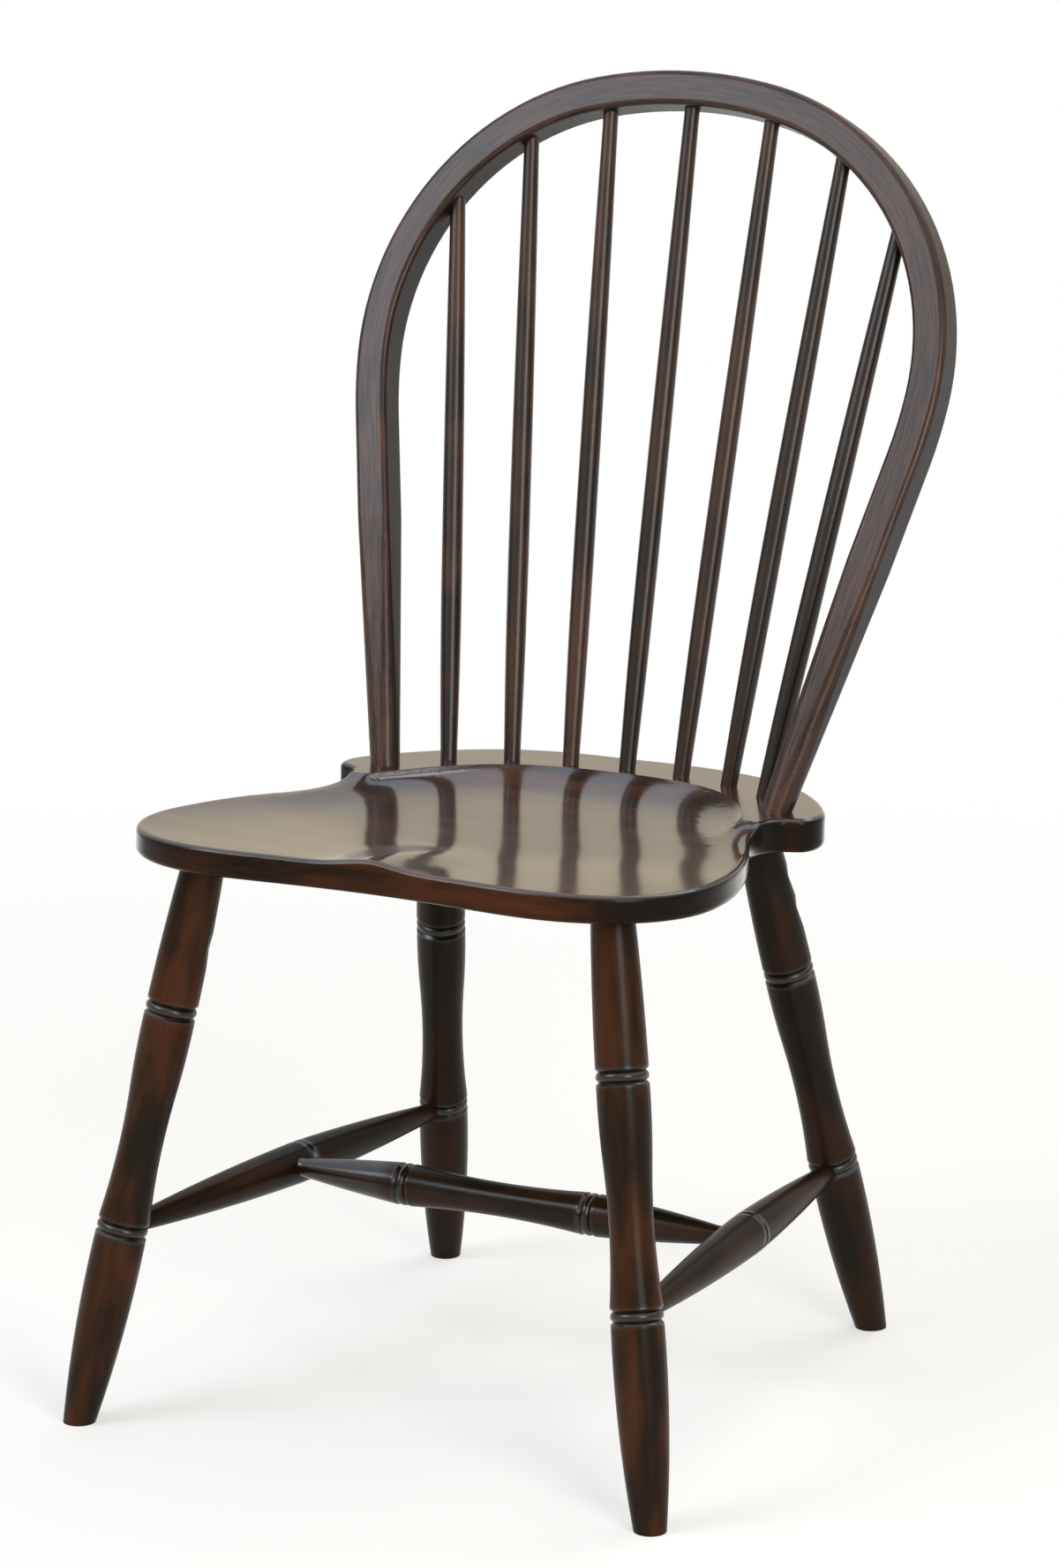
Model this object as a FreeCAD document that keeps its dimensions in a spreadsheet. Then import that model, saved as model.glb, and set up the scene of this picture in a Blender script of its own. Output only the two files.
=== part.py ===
# Bow-back side chair: a saddled plank seat on four splayed turned legs with an H stretcher, and a back
# made of one bent bow round seven straight spindles. Every joint is a round tenon in a drilled socket.
#
# Frame: +Z up, the chair faces -Y and its left side is -X. The origin is on the floor, below the middle
# of the chair's own box. All sizes are millimetres and degrees.
import FreeCAD, Part
import math
import os
import Sketcher
from FreeCAD import Placement, Rotation, Vector

doc = FreeCAD.newDocument("bow_back_chair")

# Driving dimensions
SIZES = {
    # seat plank: the deck is the flat band at the back that carries bow and spindles
    "deck_height": 441.4, "deck_from_middle": 72.6, "seat_tilt": 2.4, "seat_thickness": 25.8,
    "seat_edge_radius": 4.0, "seat_under_radius": 5.0,
    # hollow of the seat: how deep it is in the middle and at the rim, and the line where the deck ends
    "saddle_depth": 13.0, "rim_depth": 5.0, "saddle_wall": 24.0, "rim_wall_share": 0.8, "rim_power": 5.0,
    "deck_front": 70.0, "deck_sweep": 0.00139, "deck_hook": 1.21e-7, "deck_waist": -42.0, "deck_turn": 6.0,
    # the thighs climb from a crease to the front rim, with the pommel between them
    "crease_middle": -212.0, "crease_slope": 0.37, "crease_round": 30.0, "crease_bend": 20.0,
    "pommel_half_width": 28.0, "pommel_rise_share": 0.97,
    # the top rolls over towards the sides, fully at the waist and less and less towards the front
    "side_roll_depth": 4.0, "side_roll_from": 0.92, "side_roll_bend": 0.3, "side_roll_front": -190.0,
    "side_roll_full": -50.0,
    # bow
    "bow_recline": 20.6, "bow_width": 27.0, "bow_depth": 28.5, "bow_corner": 4.5, "bow_foot_spread": 168.0,
    "bow_leg_lean": 12.4, "bow_top_radius": 348.0, "bow_top_half_angle": 12.5, "bow_shoulder_radius": 205.0,
    "bow_shoulder_end": 94.5, "bow_hip_radius": 343.0, "bow_top_centre": 197.4, "bow_taper_start": 190.0,
    "bow_foot_radius": 11.6, "bow_tenon_radius": 10.3, "bow_tenon_reach": 40.0, "wedge_length": 15.0,
    "wedge_width": 18.0, "wedge_thickness": 3.2, "wedge_tip": 0.8,
    # spindles
    "spindle_count_half": 3, "spindle_foot_pitch": 48.3, "spindle_foot_crowding": 0.0062,
    "spindle_head_pitch": 70.64, "spindle_head_crowding": 0.0105,
    "spindle_foot_row": 83.6, "spindle_foot_sweep": 0.0010, "spindle_foot_hook": 5.6e-8,
    "spindle_foot_radius": 6.4, "spindle_swell_radius": 8.1, "spindle_head_radius": 5.9,
    "spindle_swell_share": 0.31, "spindle_socket": 10.0, "spindle_past_bow_middle": 2.0, "spindle_head_tenon": 24.0,
    # legs: foot centres on the floor, and where their axes meet the underside of the seat
    "front_foot_x": 239.2, "front_foot_y": 269.4, "front_top_x": 168.2, "front_top_y": 193.7,
    "rear_foot_x": 191.1, "rear_foot_y": 207.5, "rear_top_x": 137.4, "rear_top_y": 103.5,
    "leg_foot_radius": 11.0, "leg_ring_radius": 19.2, "leg_waist_end_radius": 17.3,
    "leg_top_radius": 15.0, "leg_lower_swell": 1050.0, "leg_waist_curve": 576.0, "leg_upper_swell": 694.0,
    "leg_top_curve": 2270.0, "leg_tenon_radius": 11.0, "leg_tenon_length": 12.0,
    "front_ring_low": 152.3, "front_ring_high": 321.9, "rear_ring_low": 148.0, "rear_ring_high": 314.6,
    "leg_waist_length": 98.0,
    # turned rings
    "groove_pitch": 7.0, "groove_half_width": 2.3, "groove_depth": 2.2,
    # stretchers
    "side_front_height": 147.0, "side_rear_height": 136.8, "side_ring_share": 0.535, "side_ring_radius": 16.2,
    "side_end_radius": 7.0, "side_front_swell": 3000.0, "side_rear_swell": 3000.0,
    "centre_joint_share": 0.4885, "centre_lift": 1.8,
    "centre_ring_radius": 16.2, "centre_waist_radius": 12.9, "centre_end_radius": 7.2,
    "centre_ring_left": 0.2788, "centre_ring_right": 0.6878, "centre_left_swell": 1500.0,
    "centre_right_swell": 1140.0, "side_tenon": 14.0, "side_shoulder": 21.2,
    "centre_tenon": 11.0, "centre_shoulder": 17.6,
    # glue gap left round every tenon and at the bottom of every socket
    "glue_gap": 0.1, "socket_end_gap": 1.0,
}

# Plan of the seat, right half: how far each point of the edge is from the middle line, and how far it
# is behind the line through the two bow feet (minus is towards the front)
SEAT_EDGE = [
    ("back_middle", 0.0, 129.0), ("back_shoulder", 74.0, 125.0), ("back_turn", 123.0, 107.0),
    ("back_side", 168.0, 68.0), ("ear_back", 195.0, 29.0), ("ear_outer", 204.0, 1.0),
    ("ear_corner", 198.5, -15.0), ("ear_front", 184.5, -23.0), ("waist", 176.5, -42.0),
    ("side_rear", 190.0, -90.0), ("side_middle", 213.0, -143.0), ("side_bulge", 229.5, -205.0),
    ("corner_outer", 227.5, -262.0), ("corner_turn", 199.0, -304.0), ("corner_front", 150.0, -326.0),
    ("front_quarter", 75.0, -324.5), ("front_middle", 0.0, -320.0),
]

sheet = doc.addObject("Spreadsheet::Sheet", "sizes")
table = dict(SIZES)
for point, out, back in SEAT_EDGE:
    table["edge_" + point + "_out"] = out
    table["edge_" + point + "_back"] = back
for row, (alias, value) in enumerate(table.items(), start=1):
    sheet.set("A%d" % row, alias)
    sheet.set("B%d" % row, str(value))
    sheet.setAlias("B%d" % row, alias)
doc.recompute()


class Dim:
    """A size that knows both its value and the expression that gives it from the sheet."""

    def __init__(self, value, text):
        self.value = float(value)
        self.text = text

    def __add__(self, other):
        other = as_dim(other)
        return Dim(self.value + other.value, "(%s + %s)" % (self.text, other.text))

    def __sub__(self, other):
        other = as_dim(other)
        return Dim(self.value - other.value, "(%s - %s)" % (self.text, other.text))

    def __mul__(self, other):
        other = as_dim(other)
        return Dim(self.value * other.value, "(%s * %s)" % (self.text, other.text))

    def __truediv__(self, other):
        other = as_dim(other)
        return Dim(self.value / other.value, "(%s / %s)" % (self.text, other.text))


def as_dim(number):
    return number if isinstance(number, Dim) else Dim(number, "%.6f" % number)


def dim(alias):
    return Dim(sheet.get(alias), "sizes." + alias)


def size(alias):
    return float(sheet.get(alias))


def bind(thing, name, value):
    thing.setExpression(name, value.text)


# Frames that the pieces are laid out in

def seat_frame():
    """Origin midway between the bow feet on the deck, +X right, +Y back along the seat, +Z out of it."""
    origin = Vector(0, size("deck_from_middle"), size("deck_height"))
    return Placement(origin, Rotation(Vector(1, 0, 0), -size("seat_tilt")))


def bow_frame():
    """Same origin, +X right, +Y up along the reclined bow, +Z out of its front."""
    origin = Vector(0, size("deck_from_middle"), size("deck_height"))
    return Placement(origin, Rotation(Vector(1, 0, 0), 90 - size("bow_recline")))


def along(start, end):
    """Placement that puts a piece modelled up its own Z axis on the line from start towards end."""
    return Placement(start, Rotation(Vector(0, 0, 1), end - start))


def point_on(start, end, distance):
    return start + (end - start).normalize() * distance


# Sketch and feature helpers

def new_body(name):
    return doc.addObject("PartDesign::Body", name)


def origin_plane(body, role):
    return [plane for plane in body.Origin.OriginFeatures if plane.Role == role][0]


def new_sketch(body, name, role):
    sketch = body.newObject("Sketcher::SketchObject", name)
    sketch.AttachmentSupport = [(origin_plane(body, role), "")]
    sketch.MapMode = "FlatFace"
    return sketch


def bulged_arc(start, end, radius, side):
    """Arc from start to end; side +1 bulges to the right of that direction, -1 to its left."""
    chord = end - start
    half = chord.Length / 2
    sag = radius - math.sqrt(radius * radius - half * half)
    across = Vector(chord.y, -chord.x, 0).normalize()
    return Part.Arc(start, start + chord * 0.5 + across * sag * side, end)


def pin_coordinate(sketch, kind, geometry, end, value):
    """Fix one coordinate of a sketch point to its expression, or to the axis where it is zero."""
    if abs(value.value) < 1e-9:
        axis = -2 if kind == "DistanceX" else -1
        sketch.addConstraint(Sketcher.Constraint("PointOnObject", geometry, end, axis))
        return
    index = sketch.addConstraint(Sketcher.Constraint(kind, -1, 1, geometry, end, value.value))
    sketch.setExpression("Constraints[%d]" % index, value.text)


def draw_outline(sketch, corners, closed=True):
    """Draw lines and arcs through corners (x, y, arc); arc is None or (radius, side) up to the next."""
    count = len(corners) if closed else len(corners) - 1
    ends = []
    for index in range(count):
        x, y, arc = corners[index]
        next_x, next_y, _ = corners[(index + 1) % len(corners)]
        start = Vector(x.value, y.value, 0)
        end = Vector(next_x.value, next_y.value, 0)
        if arc is None:
            geometry = sketch.addGeometry(Part.LineSegment(start, end), False)
        else:
            geometry = sketch.addGeometry(bulged_arc(start, end, arc[0].value, arc[1]), False)
            radius = sketch.addConstraint(Sketcher.Constraint("Radius", geometry, arc[0].value))
            sketch.setExpression("Constraints[%d]" % radius, arc[0].text)
        from_first = (sketch.getPoint(geometry, 1) - start).Length
        from_second = (sketch.getPoint(geometry, 2) - start).Length
        first = 1 if from_first < from_second else 2
        ends.append((geometry, first, 3 - first))
    for index, (geometry, first, last) in enumerate(ends):
        x, y, _ = corners[index]
        pin_coordinate(sketch, "DistanceX", geometry, first, x)
        pin_coordinate(sketch, "DistanceY", geometry, first, y)
        if closed or index + 1 < len(ends):
            following = ends[(index + 1) % len(ends)]
            meeting = Sketcher.Constraint("Coincident", geometry, last, following[0], following[1])
            sketch.addConstraint(meeting)
        else:
            pin_coordinate(sketch, "DistanceX", geometry, last, corners[-1][0])
            pin_coordinate(sketch, "DistanceY", geometry, last, corners[-1][1])


def new_turning(name, corners):
    """Body turned from a half outline of (radius, height, arc) corners, standing on its own Z axis."""
    body = new_body(name)
    outline = new_sketch(body, name + "_outline", "XZ_Plane")
    draw_outline(outline, corners)
    doc.recompute()
    turned = body.newObject("PartDesign::Revolution", name + "_turned")
    turned.Profile = outline
    turned.ReferenceAxis = (outline, ["V_Axis"])
    turned.Angle = 360
    return body


def new_cylinder(name, radius, height, place):
    cylinder = doc.addObject("Part::Cylinder", name)
    bind(cylinder, "Radius", as_dim(radius))
    bind(cylinder, "Height", as_dim(height))
    cylinder.Placement = place
    return cylinder


def new_block(name, length, width, height, place):
    block = doc.addObject("Part::Box", name)
    block.Length = length
    block.Width = width
    block.Height = height
    block.Placement = place
    return block


def join(name, shapes):
    fused = doc.addObject("Part::MultiFuse", name)
    fused.Shapes = shapes
    return fused


def cut(name, base, tools):
    result = doc.addObject("Part::Cut", name)
    result.Base = base
    result.Tool = tools[0] if len(tools) == 1 else join(name + "_tools", tools)
    return result


def sine(angle):
    return Dim(math.sin(math.radians(angle.value)), "sin(%s * 1 deg)" % angle.text)


def cosine(angle):
    return Dim(math.cos(math.radians(angle.value)), "cos(%s * 1 deg)" % angle.text)


def tangent_radius(run, drop):
    """Radius of an arc that leaves a straight line and is drop away from it after run."""
    return (run * run + drop * drop) / (drop * 2)


# Joints: where each axis starts and ends, in the chair's frame
ZERO = as_dim(0.0)
GLUE = dim("glue_gap")
FOOT_ALLOWANCE = 8.0
TOP_ALLOWANCE = 10.0
seat_place = seat_frame()
bow_place = bow_frame()


def leg_axis(front, side):
    """Foot centre on the floor and the point where the axis meets the underside of the seat."""
    end, sign = ("front", -1) if front else ("rear", 1)
    foot = Vector(side * size(end + "_foot_x"), sign * size(end + "_foot_y"), 0)
    x = side * size(end + "_top_x")
    y = sign * size(end + "_top_y")
    slope = math.tan(math.radians(size("seat_tilt")))
    lift = size("seat_thickness") / math.cos(math.radians(size("seat_tilt")))
    return foot, Vector(x, y, size("deck_height") - (y - size("deck_from_middle")) * slope - lift)


def at_height(axis, height):
    foot, top = axis
    return foot + (top - foot) * (height / top.z)


def side_axis(side):
    """Side stretcher's axis, from the front leg's axis to the rear leg's."""
    return (at_height(leg_axis(True, side), size("side_front_height")),
            at_height(leg_axis(False, side), size("side_rear_height")))


def centre_axis():
    """Centre stretcher's axis: it joins the side stretchers a little in front of their rings, and above
    their middle."""
    left, right = [side_axis(side) for side in (-1, 1)]
    share, lift = size("centre_joint_share"), Vector(0, 0, size("centre_lift"))
    return tuple(front + (rear - front) * share + lift for front, rear in (left, right))


# Turned rings, as extra corners of an outline

def groove(height, radius):
    half = dim("groove_half_width")
    bottom = radius - dim("groove_depth")
    return [(radius, height - half, None), (bottom, height, None), (radius, height + half, None)]


def double_ring(height, radius):
    """Two grooves with a full round bead between them, as tall as the turning either side."""
    half_pitch = dim("groove_pitch") / 2
    half, depth = dim("groove_half_width"), dim("groove_depth")
    bead = tangent_radius(half_pitch, depth)
    return [(radius, height - half_pitch - half, None), (radius - depth, height - half_pitch, (bead, 1)),
            (radius - depth, height + half_pitch, None), (radius, height + half_pitch + half, None)]


def with_arc(corners, arc):
    """The same corners, with an arc from the last of them to whatever comes next."""
    radius, height, _ = corners[-1]
    return corners[:-1] + [(radius, height, arc)]


# Legs

floor_slab = new_block("floor_slab", 800, 800, 60, Placement(Vector(-400, -400, -60), Rotation()))


def new_leg(name, front, side):
    end = "front" if front else "rear"
    foot, top = leg_axis(front, side)
    length = (top - foot).Length
    low = dim(end + "_ring_low") + FOOT_ALLOWANCE
    high = dim(end + "_ring_high") + FOOT_ALLOWANCE
    ring = dim("leg_ring_radius")
    ring_half = dim("groove_pitch") / 2 + dim("groove_half_width")
    waist_end = low + ring_half + dim("leg_waist_length")
    head = as_dim(length + FOOT_ALLOWANCE + TOP_ALLOWANCE)
    corners = [(ZERO, ZERO, None), (dim("leg_foot_radius"), ZERO, (dim("leg_lower_swell"), 1))]
    corners += with_arc(double_ring(low, ring), (dim("leg_waist_curve"), -1))
    corners += [(dim("leg_waist_end_radius"), waist_end, (dim("leg_upper_swell"), 1))]
    corners += with_arc(double_ring(high, ring), (dim("leg_top_curve"), 1))
    corners += [(dim("leg_top_radius"), head, None), (ZERO, head, None)]
    turning = new_turning(name + "_turning", corners)
    turning.Placement = along(point_on(foot, top, -FOOT_ALLOWANCE), top)
    under_seat = Vector(-300, -400, -size("seat_thickness") - size("glue_gap"))
    seat_slab = new_block(name + "_seat_slab", 600, 600, 60, seat_place * Placement(under_seat, Rotation()))
    trimmed = cut(name + "_trimmed", turning, [floor_slab, seat_slab])
    root = 15.0
    tenon = new_cylinder(name + "_tenon", dim("leg_tenon_radius"), dim("leg_tenon_length") + root,
                         along(point_on(foot, top, length - root), top + (top - foot)))
    whole = join(name + "_whole", [trimmed, tenon])
    return cut(name, whole, [stretcher_socket(name + "_socket", side, front)])


def stretcher_socket(name, side, front):
    """Drill for a side stretcher's tenon, from outside the leg down to the tenon's end."""
    start, end = side_axis(side) if front else reversed(side_axis(side))
    depth = dim("side_tenon") + dim("socket_end_gap")
    outside = 12.0
    deep = point_on(start, end, size("side_shoulder") - depth.value)
    return new_cylinder(name, dim("side_end_radius") + GLUE, depth + outside, along(deep, end))


# Stretchers

def new_side_stretcher(name, side):
    front, rear = side_axis(side)
    span = (rear - front).Length
    start = size("side_shoulder") - size("side_tenon")
    ring_at = dim("side_ring_share") * span - start
    finish = as_dim(span - 2 * start)
    end = dim("side_end_radius")
    corners = [(ZERO, ZERO, None), (end, ZERO, None), (end, dim("side_tenon"), (dim("side_front_swell"), 1))]
    corners += with_arc(groove(ring_at, dim("side_ring_radius")), (dim("side_rear_swell"), 1))
    corners += [(end, finish - dim("side_tenon"), None), (end, finish, None), (ZERO, finish, None)]
    turning = new_turning(name + "_turning", corners)
    turning.Placement = along(point_on(front, rear, start), rear)
    left, right = centre_axis()
    socket_start, socket_end = (left, right) if side < 0 else (right, left)
    depth = dim("centre_tenon") + dim("socket_end_gap")
    outside = 12.0
    deep = point_on(socket_start, socket_end, size("centre_shoulder") - depth.value)
    socket = new_cylinder(name + "_socket", dim("centre_end_radius") + GLUE, depth + outside,
                          along(deep, socket_end))
    return cut(name, turning, [socket])


def new_centre_stretcher(name):
    left, right = centre_axis()
    span = (right - left).Length
    start = size("centre_shoulder") - size("centre_tenon")
    finish = as_dim(span - 2 * start)
    end = dim("centre_end_radius")
    ring = dim("centre_ring_radius")
    first, second = [dim("centre_ring_" + which) * span - start for which in ("left", "right")]
    middle = (first + second) / 2
    ring_half = dim("groove_pitch") / 2 + dim("groove_half_width")
    run = middle - first - ring_half
    waist_curve = tangent_radius(run, ring - dim("centre_waist_radius"))
    corners = [(ZERO, ZERO, None), (end, ZERO, None)]
    corners += [(end, dim("centre_tenon"), (dim("centre_left_swell"), 1))]
    corners += with_arc(double_ring(first, ring), (waist_curve, -1))
    corners += with_arc(double_ring(second, ring), (dim("centre_right_swell"), 1))
    corners += [(end, finish - dim("centre_tenon"), None), (end, finish, None), (ZERO, finish, None)]
    turning = new_turning(name, corners)
    turning.Placement = along(point_on(left, right, start), right)
    return turning


# Bow: a sweep round the top, a taper down each leg and a round tenon through the seat

def bow_path_corners():
    """Corners of the right half of the bow's middle line, in its own plane, with their arcs."""
    top, shoulder, hip = [dim("bow_%s_radius" % which) for which in ("top", "shoulder", "hip")]
    first, second = dim("bow_top_half_angle"), dim("bow_shoulder_end")
    third = as_dim(90.0) + dim("bow_leg_lean")
    centre = (ZERO, dim("bow_top_centre"))
    corners = [(ZERO, centre[1] + top, (top, -1))]
    for radius, following, angle in ((top, shoulder, first), (shoulder, hip, second), (hip, None, third)):
        x = centre[0] + radius * sine(angle)
        y = centre[1] + radius * cosine(angle)
        corners.append((x, y, (following, -1) if following else None))
        if following:
            centre = (x - following * sine(angle), y - following * cosine(angle))
    return corners


def bow_leg_point(height):
    """Point of the straight lower leg at this height up the bow, from where it meets the deck."""
    lean = dim("bow_leg_lean")
    x = dim("bow_foot_spread") + sine(lean) / cosine(lean) * height
    return x, as_dim(height)


def draw_rounded_square(sketch, centre, half_width, half_depth, corner):
    """Draw a rounded rectangle round (centre, 0), with its sides and corners bound to the sheet."""
    left, right = centre - half_width, centre + half_width
    inner_left, inner_right = left + corner, right - corner
    top, inner_top = half_depth, half_depth - corner
    low, inner_low = ZERO - half_depth, ZERO - half_depth + corner
    arc = (corner, 1)
    draw_outline(sketch, [
        (inner_left, low, None), (inner_right, low, arc), (right, inner_low, None), (right, inner_top, arc),
        (inner_right, top, None), (inner_left, top, arc), (left, inner_top, None), (left, inner_low, arc)])


def leg_section(body, name, height, half_width, half_depth, corner):
    """Section square to the bow's right leg at this height."""
    x, y = bow_leg_point(height)
    sketch = new_sketch(body, name, "XZ_Plane")
    draw_rounded_square(sketch, ZERO, half_width, half_depth, corner)
    sketch.AttachmentOffset = Placement(Vector(x.value, 0, -y.value),
                                        Rotation(Vector(0, 1, 0), -size("bow_leg_lean")))
    bind(sketch, ".AttachmentOffset.Base.x", x)
    bind(sketch, ".AttachmentOffset.Base.z", ZERO - y)
    return sketch


BOW_ROUND_FROM = 7.0


def new_bow_body(name):
    body = new_body(name)
    path = new_sketch(body, name + "_path", "XY_Plane")
    corners = bow_path_corners()
    lower = bow_leg_point(size("bow_taper_start"))
    draw_outline(path, corners + [(lower[0], lower[1], None)], closed=False)
    half_width, half_depth = dim("bow_width") / 2, dim("bow_depth") / 2
    section = new_sketch(body, name + "_section", "YZ_Plane")
    draw_rounded_square(section, corners[0][1], half_width, half_depth, dim("bow_corner"))
    doc.recompute()
    sweep = body.newObject("PartDesign::AdditivePipe", name + "_sweep")
    sweep.Profile = section
    sweep.Spine = (path, ["Edge%d" % (index + 1) for index in range(len(corners))])
    doc.recompute()
    upper_section = leg_section(body, name + "_upper_section", size("bow_taper_start"),
                                half_width, half_depth, dim("bow_corner"))
    foot = dim("bow_foot_radius")
    flat = 0.1
    foot_section = leg_section(body, name + "_foot_section", BOW_ROUND_FROM, foot + flat, foot + flat, foot)
    doc.recompute()
    taper = body.newObject("PartDesign::AdditiveLoft", name + "_taper")
    taper.Profile = upper_section
    taper.Sections = [foot_section]
    doc.recompute()
    mirror = body.newObject("PartDesign::Mirrored", name + "_mirror")
    mirror.Originals = [sweep, taper]
    mirror.MirrorPlane = (origin_plane(body, "YZ_Plane"), [""])
    body.Tip = mirror
    body.Placement = bow_place
    return body


def bow_height_at(x):
    """Height up the bow of its middle line, this far to the side of the top."""
    corners = bow_path_corners()
    radius, limit = size("bow_top_radius"), corners[1][0].value
    centre_x, centre_y = 0.0, size("bow_top_centre")
    if abs(x) > limit:
        shrink = radius - size("bow_shoulder_radius")
        angle = math.radians(size("bow_top_half_angle"))
        centre_x, centre_y = shrink * math.sin(angle), centre_y + shrink * math.cos(angle)
        radius = size("bow_shoulder_radius")
    return centre_y + math.sqrt(radius ** 2 - (abs(x) - centre_x) ** 2)


# Spindles

def spindle_axis(index):
    """Where a spindle's axis leaves the deck, and where it crosses the bow's middle line."""
    foot_x = index * size("spindle_foot_pitch") * (1 - size("spindle_foot_crowding") * index ** 2)
    foot_back = size("spindle_foot_row") - size("spindle_foot_sweep") * foot_x ** 2
    foot_back -= size("spindle_foot_hook") * foot_x ** 4
    head_x = index * size("spindle_head_pitch") * (1 - size("spindle_head_crowding") * index ** 2)
    foot = seat_place.multVec(Vector(foot_x, foot_back, 0))
    head = bow_place.multVec(Vector(head_x, bow_height_at(head_x), 0))
    return foot, head


def new_spindle(name, index):
    foot, head = spindle_axis(index)
    buried = dim("spindle_socket")
    finish = as_dim((head - foot).Length) + buried + dim("spindle_past_bow_middle")
    swell_at = (finish - buried) * dim("spindle_swell_share") + buried
    swell = dim("spindle_swell_radius")
    foot_radius, head_radius = dim("spindle_foot_radius"), dim("spindle_head_radius")
    lower_arc = tangent_radius(swell_at - buried, swell - foot_radius)
    tenon_from = finish - dim("spindle_past_bow_middle") - dim("spindle_head_tenon")
    upper_arc = tangent_radius(tenon_from - swell_at, swell - head_radius)
    corners = [(ZERO, ZERO, None), (foot_radius, ZERO, None), (foot_radius, buried, (lower_arc, 1)),
               (swell, swell_at, (upper_arc, 1)), (head_radius, tenon_from, None),
               (head_radius, finish, None), (ZERO, finish, None)]
    spindle = new_turning(name, corners)
    spindle.Placement = along(point_on(foot, head, -buried.value), head)
    return spindle


def spindle_foot_socket(name, index):
    foot, head = spindle_axis(index)
    depth = dim("spindle_socket") + dim("socket_end_gap")
    outside = 10.0
    return new_cylinder(name, dim("spindle_foot_radius") + GLUE, depth + outside,
                        along(point_on(foot, head, -depth.value), head))


def spindle_head_socket(name, index):
    foot, head = spindle_axis(index)
    reach = 30.0
    start = head + (foot - head).normalize() * reach
    depth = as_dim(reach) + dim("spindle_past_bow_middle") + dim("socket_end_gap")
    return new_cylinder(name, dim("spindle_head_radius") + GLUE, depth, along(start, head))


# Bow feet: the round ends of the bow go right through the seat and are wedged from below

def bow_foot_frame(side):
    """Origin where the bow's middle line meets the deck, +Z down the bow's leg."""
    x, y = bow_leg_point(0.0)
    foot = bow_place.multVec(Vector(side * x.value, 0, 0))
    above = bow_place.multVec(Vector(side * bow_leg_point(100.0)[0].value, 100.0, 0))
    down = (foot - above).normalize()
    forward = bow_place.Rotation.multVec(Vector(0, 0, 1))
    return Placement(foot, Rotation(down.cross(forward), forward, down, "ZYX"))


def new_bow_tenon(name, side, gap):
    """Tapered round end of the bow, or with a gap the drilled hole that takes it."""
    cone = doc.addObject("Part::Cone", name)
    bind(cone, "Radius1", dim("bow_foot_radius") + gap)
    bind(cone, "Radius2", dim("bow_tenon_radius") + gap)
    inside_bow = BOW_ROUND_FROM + 1.5
    bind(cone, "Height", dim("bow_tenon_reach") + inside_bow)
    cone.Placement = bow_foot_frame(side) * Placement(Vector(0, 0, -inside_bow), Rotation())
    return cone


def new_wedge_block(name, side, gap):
    """Wedge driven up the end of a bow foot, thick end flush with the underside of the seat."""
    axis = bow_foot_frame(side)
    down = axis.Rotation.multVec(Vector(0, 0, 1))
    under = seat_place.multVec(Vector(0, 0, -size("seat_thickness")))
    normal = seat_place.Rotation.multVec(Vector(0, 0, 1))
    reach = (under - axis.Base).dot(normal) / down.dot(normal)
    wedge = doc.addObject("Part::Wedge", name)
    below = 8.0
    half_width = dim("wedge_width") / 2 + gap
    half_thick = dim("wedge_thickness") / 2 + gap
    half_tip = dim("wedge_tip") / 2 + gap
    bind(wedge, "Xmin", ZERO - half_width)
    bind(wedge, "Xmax", half_width)
    bind(wedge, "X2min", ZERO - half_width)
    bind(wedge, "X2max", half_width)
    bind(wedge, "Ymin", ZERO - gap)
    bind(wedge, "Ymax", dim("wedge_length") + below)
    bind(wedge, "Zmin", ZERO - half_tip)
    bind(wedge, "Zmax", half_tip)
    bind(wedge, "Z2min", ZERO - half_thick)
    bind(wedge, "Z2max", half_thick)
    tip = Placement(Vector(0, 0, reach - size("wedge_length")), Rotation(Vector(1, 0, 0), 90))
    wedge.Placement = axis * tip
    return wedge


def new_bow(name):
    body = new_bow_body(name + "_bent")
    tenons = [new_bow_tenon(name + "_tenon_" + word, side, ZERO) for word, side in SIDES]
    whole = join(name + "_whole", [body] + tenons)
    below = Placement(Vector(-300, -400, -size("seat_thickness") - 60), Rotation())
    slab = new_block(name + "_under_seat", 600, 600, 60, seat_place * below)
    kerfs = [new_wedge_block(name + "_kerf_" + word, side, as_dim(0.05)) for word, side in SIDES]
    sockets = [spindle_head_socket("%s_socket_%d" % (name, number), index) for number, index in SPINDLES]
    return cut(name, whole, [slab] + kerfs + sockets)


def new_wedge(name, side):
    block = new_wedge_block(name + "_block", side, ZERO)
    below = Placement(Vector(-300, -400, -size("seat_thickness") - 60), Rotation())
    slab = new_block(name + "_under_seat", 600, 600, 60, seat_place * below)
    return cut(name, block, [slab])


# Seat: a plank cut to shape, hollowed in front of the deck and drilled

def seat_edge_points():
    """The whole edge of the seat in plan, from the middle of the back round the right side."""
    names = [point for point, _, _ in SEAT_EDGE]
    right = [Vector(size("edge_%s_out" % name), size("edge_%s_back" % name), 0) for name in names]
    left = [Vector(-spot.x, spot.y, 0) for spot in reversed(right[1:-1])]
    return right + left


def smooth_step(value):
    value = min(max(value, 0.0), 1.0)
    return value * value * (3 - 2 * value)


def bent_line(value, bend):
    """Zero while value is negative and value itself once it is positive, with a soft bend between."""
    return (value + math.sqrt(value * value + bend * bend)) / 2


def deck_edge(x):
    """How far behind the bow feet the deck's front edge runs, this far from the middle."""
    line = size("deck_front") - size("deck_sweep") * x ** 2 - size("deck_hook") * x ** 4
    return size("deck_waist") + bent_line(line - size("deck_waist"), size("deck_turn"))


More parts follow.
